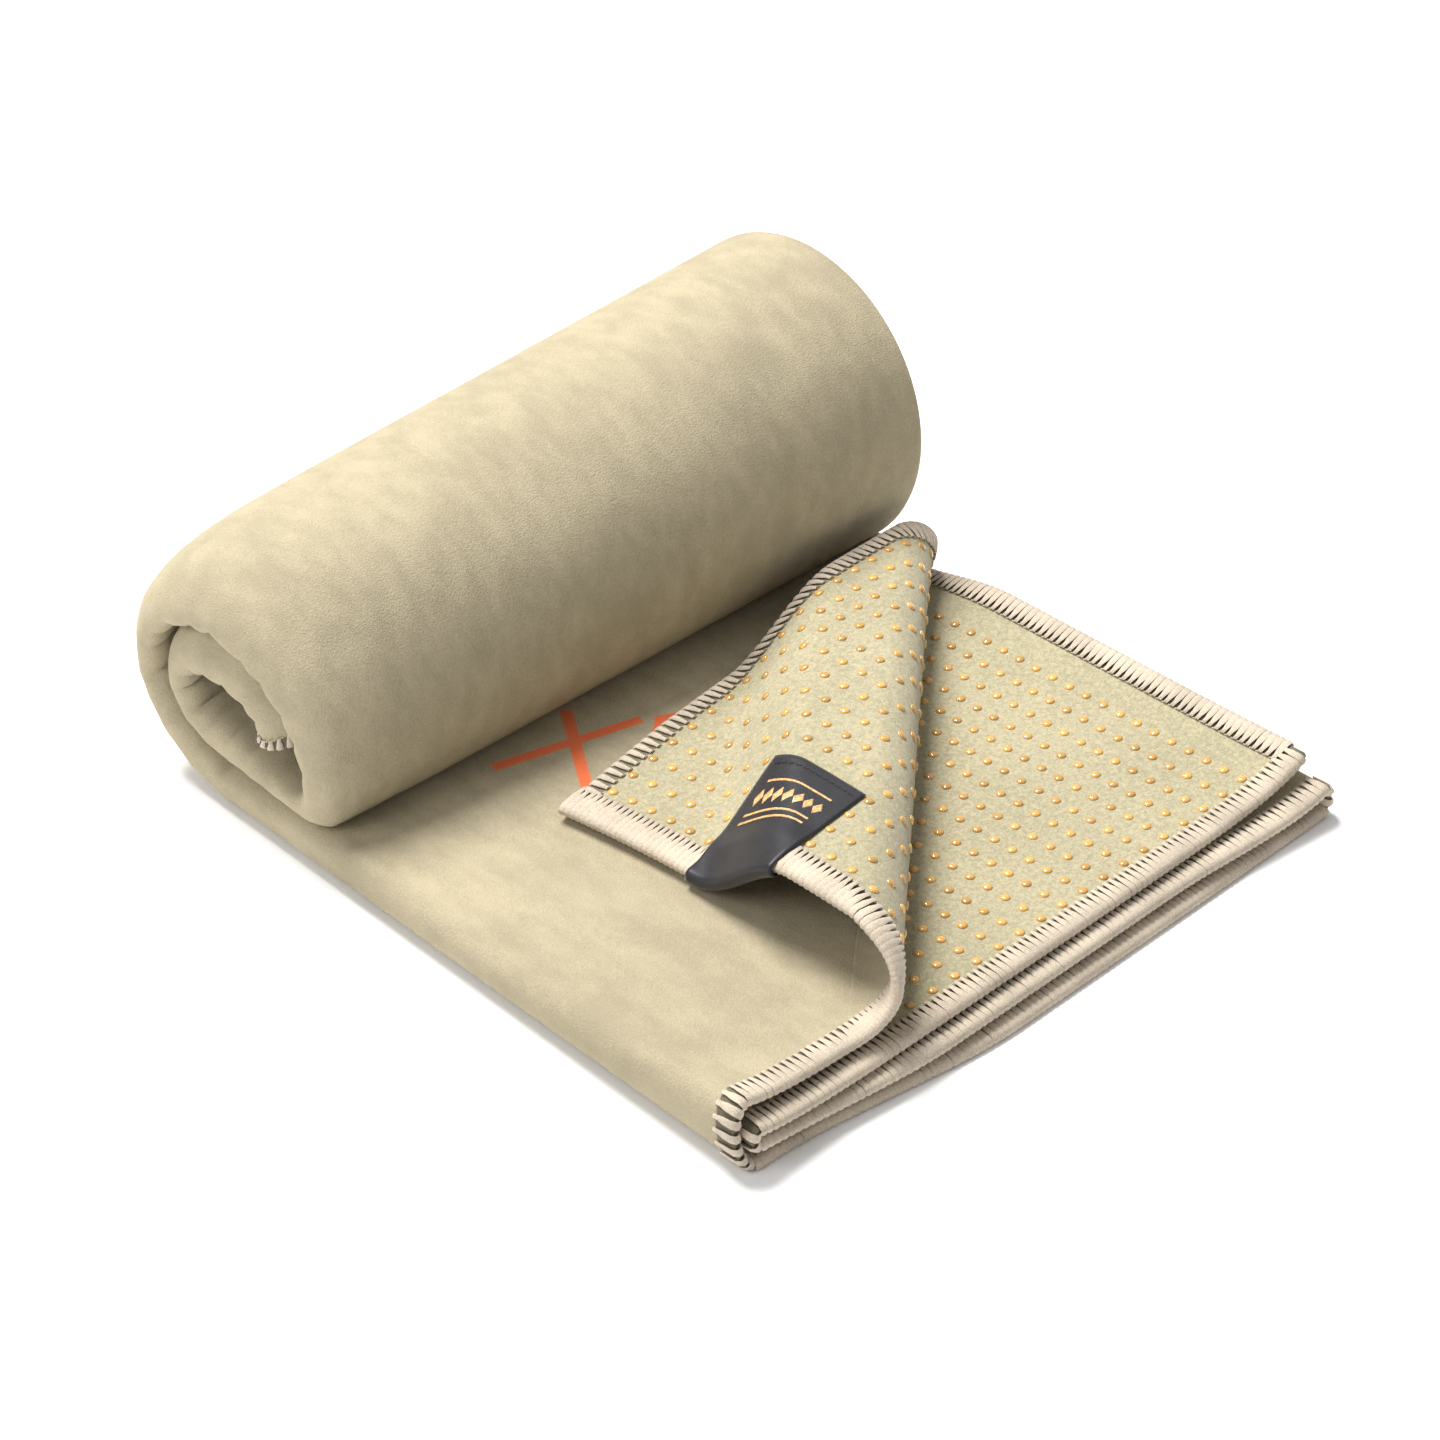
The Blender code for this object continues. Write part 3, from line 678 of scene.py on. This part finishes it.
def flap_blend(piece):
    """Bakes the piece's placement into its mesh; the foot of the curl is worked out but not used.
    """
    start = Vector((CREASE_START + LEFT_X, FRONT_Y, lofted(UPPER_Z, CREASE_START, 0.0)))
    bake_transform(piece)
    return piece


def even_steps(low, high, step):
    """Distances from low up to high, high itself left out, a whole number of steps apart."""
    count = max(round((high - low) / step), 1)
    return [mix(low, high, index / count) for index in range(count)]


def upper_edge(from_hem, inset):
    """Across the cut, where the fixed part of the upper panel begins."""
    crease = min(crease_position(from_hem), WIDTH - inset)
    return WIDTH - crease


CLOTH_EDGE = 0.9 * MM
SEAM_LAP = 0.8 * MM              # the fixed cloth runs this far in under the corner's edge
CORNER_GAP = 0.3 * MM            # at the corner's far point, where its rows run out
UPPER_COLUMNS = 44.0
CORNER_COLUMNS = 90
PANEL_STEP = 3.5 * MM            # from column to column of the cloth
BIG_FOLD_STEP = 0.9 * MM
SMALL_FOLD_STEP = 0.6 * MM
FRONT_ROW_STEP = 3.2 * MM        # from row to row
FLAT_ROW_STEP = 3.0 * MM
ROLL_ROW_STEP = 2.2 * MM
CORNER_ROW_STEP = 1.6 * MM
CORNER_END = (WIDTH - CLOTH_EDGE - CREASE_START) * math.tan(CREASE_ANGLE)


class TOWEL_OT_cloth(bpy.types.Operator):
    """Make the cloth that stays put: four panels, their folds and the roll"""
    bl_idname = "towel.cloth"
    bl_label = "Cloth"

    def execute(self, context):
        rows = even_steps(CLOTH_EDGE, CORNER_END, FRONT_ROW_STEP)
        rows += even_steps(CORNER_END, FLAT_LENGTH, FLAT_ROW_STEP)
        rows += even_steps(FLAT_LENGTH, CUT_LENGTH - CLOTH_EDGE, ROLL_ROW_STEP)
        rows.append(CUT_LENGTH - CLOTH_EDGE)
        stations = []
        for row in rows:
            edge = max(upper_edge(row, CLOTH_EDGE) - SEAM_LAP, CLOTH_EDGE)
            line = even_steps(edge, cut_at(OUTER_FOLD, 0.0), (LENGTHS[0] - edge) / UPPER_COLUMNS)
            for piece, step in ((OUTER_FOLD, BIG_FOLD_STEP), (LOWER, PANEL_STEP),
                                (RIGHT_FOLD, SMALL_FOLD_STEP), (MIDDLE, PANEL_STEP),
                                (INNER_FOLD, SMALL_FOLD_STEP)):
                line += even_steps(cut_at(piece, 0.0), cut_at(piece + 1, 0.0), step)
            line += even_steps(cut_at(INNER, 0.0), CUT_WIDTH - CLOTH_EDGE, PANEL_STEP)
            line.append(CUT_WIDTH - CLOTH_EDGE)
            stations.append([(across, row) for across in line])
        cloth = sheet_piece("cloth", stations, place,
                            [paint_named("underside"), paint_named("velour")], THICKNESS, 1)
        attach(cloth, ROOT)
        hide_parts("towel_cloth")
        return {"FINISHED"}


class TOWEL_OT_corner(bpy.types.Operator):
    """Make the front corner of the upper panel, curled over to the left"""
    bl_idname = "towel.corner"
    bl_label = "Turned-back corner"

    def execute(self, context):
        last = CORNER_END - CORNER_GAP
        rows = even_steps(CLOTH_EDGE, last, CORNER_ROW_STEP) + [last]
        stations = []
        for row in rows:
            crease = upper_edge(row, CLOTH_EDGE)
            stations.append([(mix(CLOTH_EDGE, crease, step / CORNER_COLUMNS), row)
                             for step in range(CORNER_COLUMNS + 1)])
        corner = sheet_piece("corner", stations, place,
                             [paint_named("underside"), paint_named("velour")], THICKNESS, 1)
        flap_blend(corner)
        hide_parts("corner_cloth")
        return {"FINISHED"}


# --- overlocked edges ---
# One stitch, seen along the edge: distance from the edge, height to the dotted side, half width
# along the edge, and shift along it as a share of the pitch.
STITCH_PATH = (
    (5.15, -0.70, 0.30, 0.62), (5.20, -0.88, 0.46, 0.05), (4.2, -0.92, 0.50, 0.0),
    (3.0, -0.96, 0.74, 0.0), (1.2, -0.90, 0.82, 0.0), (0.34, -0.38, 0.84, 0.0),
    (0.32, 0.42, 0.84, 0.0), (1.2, 1.00, 0.82, 0.0), (3.0, 1.10, 0.74, 0.0),
    (4.2, 1.06, 0.50, 0.0), (5.20, 0.98, 0.46, 0.05), (5.15, 0.80, 0.30, 0.62))
STITCH_SIDES = 5
STRAND_THICK = 0.30 * MM
STRAND_END = 0.55                # a strand narrows where it enters the cloth
STITCH_LEAN = 0.06
STITCH_SWELL = (0.92, 1.06)
STITCH_REACH = 5.0               # millimetres in from the edge
STITCH_SEED = 5


def stitch_template():
    """A closed tube with one ring for each station of the path, standing along Z."""
    bm = bmesh.new()
    bmesh.ops.create_cone(bm, cap_ends=True, segments=STITCH_SIDES, radius1=1.0, radius2=1.0,
                          depth=1.0)
    sides = [edge for edge in bm.edges if abs(edge.verts[0].co.z - edge.verts[1].co.z) > 0.5]
    bmesh.ops.subdivide_edges(bm, edges=sides, cuts=len(STITCH_PATH) - 2)
    return template_mesh("stitch", bm)


def overlock(name, spots, wobble):
    """Stitches at spots along an edge: each gives the frame of the cloth at a distance in."""
    template = stitch_template()
    last = len(STITCH_PATH) - 1
    pitch = bpy.context.scene.towel_settings.stitch_pitch
    bm = bmesh.new()
    for _ in spots:
        bm.from_mesh(template)
    verts = iter(bm.verts)
    for spot in spots:
        lean = wobble.uniform(-STITCH_LEAN, STITCH_LEAN) * pitch
        swell = wobble.uniform(*STITCH_SWELL)
        rings = []
        for inset, height, half_width, shift in STITCH_PATH:
            at, normal, run, inward = spot(inset * MM)
            sideways = shift * pitch + lean * inset / STITCH_REACH
            middle = at + normal * height * MM + run * sideways
            rings.append([middle, normal, run, half_width * MM * swell])
        for ring in range(last + 1):
            ahead = rings[min(ring + 1, last)][0] - rings[max(ring - 1, 0)][0]
            rings[ring][1] = rings[ring][2].cross(ahead).normalized()
        for _ in template.vertices:
            vert = next(verts)
            ring = round((vert.co.z + 0.5) * last)
            middle, up, run, half_width = rings[ring]
            end = STRAND_END if ring in (0, last) else 1.0
            vert.co = (middle + run * vert.co.x * half_width * end
                       + up * vert.co.y * STRAND_THICK * end)
    bpy.data.meshes.remove(template)
    bmesh.ops.recalc_face_normals(bm, faces=bm.faces)
    return new_piece(name, bm, [paint_named("thread")], 80.0)


def edge_across(across_cut, at_end=False):
    """A spot of the front or back edge, at a distance across the cut."""
    def spot(inset):
        along = CUT_LENGTH - inset if at_end else inset
        at, normal, side, deep = place_with_normal(across_cut, along)
        return at, normal, side, (-deep if at_end else deep)
    return spot


def edge_along(from_hem, far=False):
    """A spot of a side edge, at a distance from the front hem."""
    def spot(inset):
        across = CUT_WIDTH - inset if far else inset
        at, normal, side, deep = place_with_normal(across, from_hem)
        return at, normal, deep, (-side if far else side)
    return spot


class TOWEL_OT_overlock(bpy.types.Operator):
    """Sew the overlock thread round the whole cut, stitch by stitch"""
    bl_idname = "towel.overlock"
    bl_label = "Overlocked edges"

    def execute(self, context):
        pitch = context.scene.towel_settings.stitch_pitch
        wobble = random.Random(STITCH_SEED)
        crease = upper_edge(0.0, 0.0)
        runs = (
            ("front_overlock", "front_hem", ROOT,
             [edge_across(a) for a in even_steps(crease, CUT_WIDTH - 0.5 * pitch, pitch)]),
            ("inner_end_overlock", "inner_end_hem", ROOT,
             [edge_across(a, True) for a in even_steps(0.5 * pitch, CUT_WIDTH, pitch)]),
            ("upper_side_overlock", "upper_side_hem", ROOT,
             [edge_along(v) for v in even_steps(CORNER_END, CUT_LENGTH - HEM_WIDTH, pitch)]),
            ("inner_side_overlock", "inner_side_hem", ROOT,
             [edge_along(v, True) for v in even_steps(HEM_WIDTH, CUT_LENGTH - HEM_WIDTH, pitch)]),
            ("corner_end_overlock", "corner_end_hem", FLAP,
             [edge_across(a) for a in even_steps(0.5 * pitch, crease, pitch)]),
            ("corner_side_overlock", "corner_side_hem", FLAP,
             [edge_along(v) for v in even_steps(HEM_WIDTH, CORNER_END, pitch)]))
        for name, node, body, spots in runs:
            piece = overlock(name, spots, wobble)
            if body == ROOT:
                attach(piece, ROOT)
            else:
                flap_blend(piece)
            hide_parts(node)
        return {"FINISHED"}


# --- grip dots ---
DOT_MARGIN = HEM_WIDTH + 1.6 * MM
DOTS_FROM_FRONT = 26.0 * MM      # dots further in than these aren't made
DOTS_FROM_SIDE = 30.0 * MM
DOTS_FROM_FOLD = 18.0 * MM
DOTS_BEFORE_ROLL = 20.0 * MM


def dot_template(settings):
    """One low dome of silicone, its lower half in the cloth."""
    bm = bmesh.new()
    bmesh.ops.create_uvsphere(bm, u_segments=10, v_segments=5, radius=1.0)
    radius = settings.dot_diameter / 2.0
    bmesh.ops.scale(bm, vec=(radius, radius, settings.dot_height), verts=bm.verts)
    return template_mesh("dot", bm)


def set_dots(name, template, spots):
    """Copies of the dome, each standing on the cloth's dotted side."""
    bm = bmesh.new()
    for _ in spots:
        bm.from_mesh(template)
    verts = iter(bm.verts)
    for across_cut, from_hem in spots:
        at, normal, side, deep = place_with_normal(across_cut, from_hem)
        side = (side - normal * side.dot(normal)).normalized()
        deep = normal.cross(side)
        at += normal * HALF
        for _ in template.vertices:
            vert = next(verts)
            vert.co = at + side * vert.co.x + deep * vert.co.y + normal * vert.co.z
    return new_piece(name, bm, [paint_named("dots")], 85.0)


def dot_shown(piece, across_cut, from_hem):
    """Dots that lie deep between the panels or inside the roll are left out."""
    side = min(across_cut, CUT_WIDTH - across_cut)
    near_right = abs(across_cut - cut_at(RIGHT_FOLD, 0.5)) < DOTS_FROM_FOLD
    if from_hem < DOTS_FROM_FRONT or side < DOTS_FROM_SIDE or near_right:
        return True
    return piece in (UPPER, INNER) and from_hem < FLAT_LENGTH - DOTS_BEFORE_ROLL


class TOWEL_OT_dots(bpy.types.Operator):
    """Set the silicone grip dots on the underside of the cloth"""
    bl_idname = "towel.dots"
    bl_label = "Grip dots"

    def execute(self, context):
        settings = context.scene.towel_settings
        fixed, turning = [], []
        across_all = even_steps(DOT_MARGIN, CUT_WIDTH - DOT_MARGIN, settings.dot_pitch_across)
        along_all = even_steps(DOT_MARGIN, CUT_LENGTH - DOT_MARGIN, settings.dot_pitch_along)
        for across in across_all:
            piece = panel_at(across)[0]
            for from_hem in along_all:
                if not dot_shown(piece, across, from_hem):
                    continue
                in_corner = across < upper_edge(from_hem, 0.0) and from_hem < CORNER_END
                turned = piece == UPPER and in_corner
                (turning if turned else fixed).append((across, from_hem))
        template = dot_template(settings)
        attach(set_dots("dots", template, fixed), ROOT)
        flap_blend(set_dots("corner_dots", template, turning))
        bpy.data.meshes.remove(template)
        return {"FINISHED"}


# --- woven label ---
LABEL_WIDTH = 25.0 * MM
LABEL_RIGHT = 38.5 * MM
LABEL_LENGTH = 20.0 * MM
LABEL_BACK = 7.0 * MM
LABEL_THICK = 0.35 * MM
LABEL_TURN = math.pi * 1.3 * MM  # ribbon in the fold round the hem
LABEL_OVER_HEM = HEM_DOT_SIDE + 0.55 * MM
LABEL_UNDER_HEM = HEM_VELOUR_SIDE + 0.5 * MM
LABEL_OVER_CLOTH = HALF + 0.35 * MM
LABEL_EASE = 4.0 * MM            # from the hem's height down to the cloth's
LABEL_AHEAD = 1.1 * MM           # how far the fold stands out past the hem
LABEL_CUT = LABEL_LENGTH + LABEL_TURN + LABEL_BACK
LABEL_ROW_STEP = 0.6 * MM
LABEL_COLUMN_STEP = 0.8 * MM
HEM_INSET = 0.3 * MM
DIAMONDS = 7
DIAMOND_PITCH = 2.6 * MM
DIAMOND_SIZE = (2.4 * MM, 2.6 * MM)
DIAMOND_RUN = 7.2 * MM
LINE_RUNS = (4.6 * MM, 9.8 * MM, 11.0 * MM)
LINE_SIZE = (17.0 * MM, 0.35 * MM)
SEWN_STITCHES = 12
SEWN_INSET = 1.6 * MM
SEWN_RUN = 1.5 * MM
SEWN_SIZE = (1.2 * MM, 0.3 * MM)
MOTIF_RISE = 0.05 * MM
MOTIF_THICK = 0.12 * MM


def label_point(across, run):
    """The ribbon's middle: run counts from its sewn end, over the hem and under the flap."""
    if run < LABEL_LENGTH:
        inset = LABEL_LENGTH - run
        ease = smooth(HEM_WIDTH, HEM_WIDTH + LABEL_EASE, inset)
        at, normal, _, _ = place_with_normal(across, inset)
        return at + normal * mix(LABEL_OVER_HEM, LABEL_OVER_CLOTH, ease)
    past = run - LABEL_LENGTH
    if past < LABEL_TURN:
        at, normal, _, deep = place_with_normal(across, HEM_INSET)
        angle = math.pi * past / LABEL_TURN
        middle = (LABEL_OVER_HEM - LABEL_UNDER_HEM) / 2.0
        reach = (LABEL_OVER_HEM + LABEL_UNDER_HEM) / 2.0
        return (at + normal * (middle + reach * math.cos(angle))
                - deep * LABEL_AHEAD * math.sin(angle))
    at, normal, _, _ = place_with_normal(across, past - LABEL_TURN + HEM_INSET)
    return at - normal * LABEL_UNDER_HEM


def on_label(across, run, rise):
    """A point that stands off the ribbon's face."""
    here = label_point(across, run)
    step = 0.3 * MM
    side = label_point(across + step, run) - here
    deep = label_point(across, run - step) - here
    return here + side.cross(deep).normalized() * rise


def bar_template():
    """One straight run of thread."""
    bm = bmesh.new()
    bmesh.ops.create_cube(bm, size=1.0)
    long_edges = [edge for edge in bm.edges
                  if abs(edge.verts[0].co.x - edge.verts[1].co.x) > 0.5]
    bmesh.ops.subdivide_edges(bm, edges=long_edges, cuts=9)
    return template_mesh("bar", bm)


def diamond_template():
    """One raised diamond with a sunken middle."""
    bm = bmesh.new()
    bmesh.ops.create_cone(bm, cap_ends=True, segments=4, radius1=0.5, radius2=0.42, depth=1.0)
    top = [face for face in bm.faces if face.normal.z > 0.9]
    bmesh.ops.inset_individual(bm, faces=top, thickness=0.14, depth=0.0)
    bmesh.ops.inset_individual(bm, faces=top, thickness=0.02, depth=-0.6)
    return template_mesh("diamond", bm)


def lay_on_label(name, parts, material):
    """Copies of small templates, laid on the ribbon's face and bent with it."""
    bm = bmesh.new()
    for template, *_ in parts:
        bm.from_mesh(template)
    verts = iter(bm.verts)
    for template, across, run, (length, wide) in parts:
        for _ in template.vertices:
            vert = next(verts)
            rise = LABEL_THICK / 2.0 + MOTIF_RISE + vert.co.z * MOTIF_THICK
            vert.co = on_label(across + vert.co.x * length, run + vert.co.y * wide, rise)
    bmesh.ops.recalc_face_normals(bm, faces=bm.faces)
    return flap_blend(new_piece(name, bm, [material], 40.0))


class TOWEL_OT_label(bpy.types.Operator):
    """Make the woven label folded over the corner's hem, its motif and its sewing"""
    bl_idname = "towel.label"
    bl_label = "Woven label"

    def execute(self, context):
        runs = even_steps(0.0, LABEL_CUT, LABEL_ROW_STEP) + [LABEL_CUT]
        acrosses = even_steps(LABEL_RIGHT, LABEL_RIGHT + LABEL_WIDTH, LABEL_COLUMN_STEP)
        acrosses.append(LABEL_RIGHT + LABEL_WIDTH)
        stations = [[(across, run) for across in acrosses] for run in runs]
        ribbon = sheet_piece("label", stations, label_point, [paint_named("label")], LABEL_THICK)
        flap_blend(ribbon)
        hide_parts("woven_label")

        middle = LABEL_RIGHT + LABEL_WIDTH / 2.0
        bar, diamond = bar_template(), diamond_template()
        parts = [(diamond, middle + (index - DIAMONDS // 2) * DIAMOND_PITCH, DIAMOND_RUN,
                  DIAMOND_SIZE) for index in range(DIAMONDS)]
        parts += [(bar, middle, run, LINE_SIZE) for run in LINE_RUNS]
        motif = lay_on_label("label_motif", parts, paint_named("gold"))

        pitch = (LABEL_WIDTH - 2.0 * SEWN_INSET) / SEWN_STITCHES
        parts = [(bar, LABEL_RIGHT + SEWN_INSET + (index + 0.5) * pitch, SEWN_RUN, SEWN_SIZE)
                 for index in range(SEWN_STITCHES)]
        sewing = lay_on_label("label_sewing", parts, paint_named("label"))
        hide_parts("label_stitching")
        bpy.data.meshes.remove(bar)
        bpy.data.meshes.remove(diamond)
        return {"FINISHED"}


# --- stage ---
FLOOR_SIZE = 6.0
FLOOR_DROP = 0.3 * MM
WORLD_STRENGTH = 0.42
CENTRE = (0.0, 0.0, 0.0)
LIGHTS = (                       # name, place, size, watts, colour
    ("overhead", (0.05, 0.55, 1.1), 0.6, 26.0, (1.0, 0.99, 0.97)),
    ("side", (-0.9, 0.2, 0.8), 0.7, 5.0, (1.0, 1.0, 1.0)))
SENSOR_WIDTH = 36.0
LENS = 82.5
CAMERA_PLACE = (LEFT_X - 0.2841, FRONT_Y - 0.2910, 0.390)
CAMERA_PITCH = math.radians(36.0)
CAMERA_YAW = math.radians(44.0)


def area_light(name, place_at, size, power, colour):
    """A round lamp that points at the middle of the floor."""
    data = bpy.data.lights.new(name, "AREA")
    data.shape = "DISK"
    data.size = size
    data.energy = power
    data.color = colour
    lamp = bpy.data.objects.new(name, data)
    lamp.location = place_at
    lamp.rotation_euler = (Vector(CENTRE) - Vector(place_at)).to_track_quat("-Z", "Y").to_euler()
    bpy.context.scene.collection.objects.link(lamp)


class TOWEL_OT_stage(bpy.types.Operator):
    """Set the pale floor, the studio light and the camera"""
    bl_idname = "towel.stage"
    bl_label = "Stage"

    def execute(self, context):
        bm = bmesh.new()
        bmesh.ops.create_grid(bm, x_segments=1, y_segments=1, size=FLOOR_SIZE)
        floor = new_piece("floor", bm, [])
        floor.location.z = -FLOOR_DROP
        paper = Paint("paper", (0.93, 0.93, 0.93), 0.9, Specular_IOR_Level=0.1)
        floor.data.materials.append(paper.material)

        world = bpy.data.worlds.new("studio")
        world.use_nodes = True
        background = world.node_tree.nodes["Background"]
        background.inputs["Color"].default_value = (1.0, 1.0, 1.0, 1.0)
        background.inputs["Strength"].default_value = WORLD_STRENGTH
        context.scene.world = world
        context.scene.view_settings.view_transform = "Standard"
        for light in LIGHTS:
            area_light(*light)

        eye = bpy.data.cameras.new("camera")
        eye.sensor_width = SENSOR_WIDTH
        eye.lens = LENS
        eye.clip_start = 0.01
        eye.dof.use_dof = False
        camera = bpy.data.objects.new("camera", eye)
        camera.location = CAMERA_PLACE
        level = math.cos(CAMERA_PITCH)
        forward = Vector((math.sin(CAMERA_YAW) * level, math.cos(CAMERA_YAW) * level,
                          -math.sin(CAMERA_PITCH)))
        camera.rotation_euler = forward.to_track_quat("-Z", "Y").to_euler()
        context.scene.collection.objects.link(camera)
        context.scene.camera = camera
        return {"FINISHED"}


class TOWEL_PT_panel(bpy.types.Panel):
    """The towel's settings and pieces in the sidebar"""
    bl_label = "Quick-dry towel"
    bl_idname = "TOWEL_PT_panel"
    bl_space_type = "VIEW_3D"
    bl_region_type = "UI"
    bl_category = "Towel"

    def draw(self, context):
        for group in (context.scene.towel_settings, context.scene.towel_colours):
            for key in group.__annotations__:
                self.layout.prop(group, key)
        for step in STEPS:
            self.layout.operator(step.bl_idname)


STEPS = (TOWEL_OT_stage, TOWEL_OT_cloth, TOWEL_OT_corner, TOWEL_OT_overlock, TOWEL_OT_dots,
         TOWEL_OT_label)
CLASSES = (TowelSettings, TowelColours, *STEPS, TOWEL_PT_panel)


def register():
    for cls in CLASSES:
        bpy.utils.register_class(cls)
    bpy.types.Scene.towel_settings = bpy.props.PointerProperty(type=TowelSettings)
    bpy.types.Scene.towel_colours = bpy.props.PointerProperty(type=TowelColours)


def unregister():
    del bpy.types.Scene.towel_settings
    del bpy.types.Scene.towel_colours
    for cls in reversed(CLASSES):
        bpy.utils.unregister_class(cls)


def declare_cloth():
    """Works out the corner's area and the cut's sizes, and keeps none of them."""
    corner_area = (WIDTH - CREASE_START) * CORNER_END / 2.0
    CUT_WIDTH * CUT_LENGTH - corner_area
    WIDTH - CREASE_START


def main():
    register()
    for step in STEPS:
        group, name = step.bl_idname.split(".")
        getattr(getattr(bpy.ops, group), name)()
    declare_cloth()


if __name__ == "__main__":
    main()
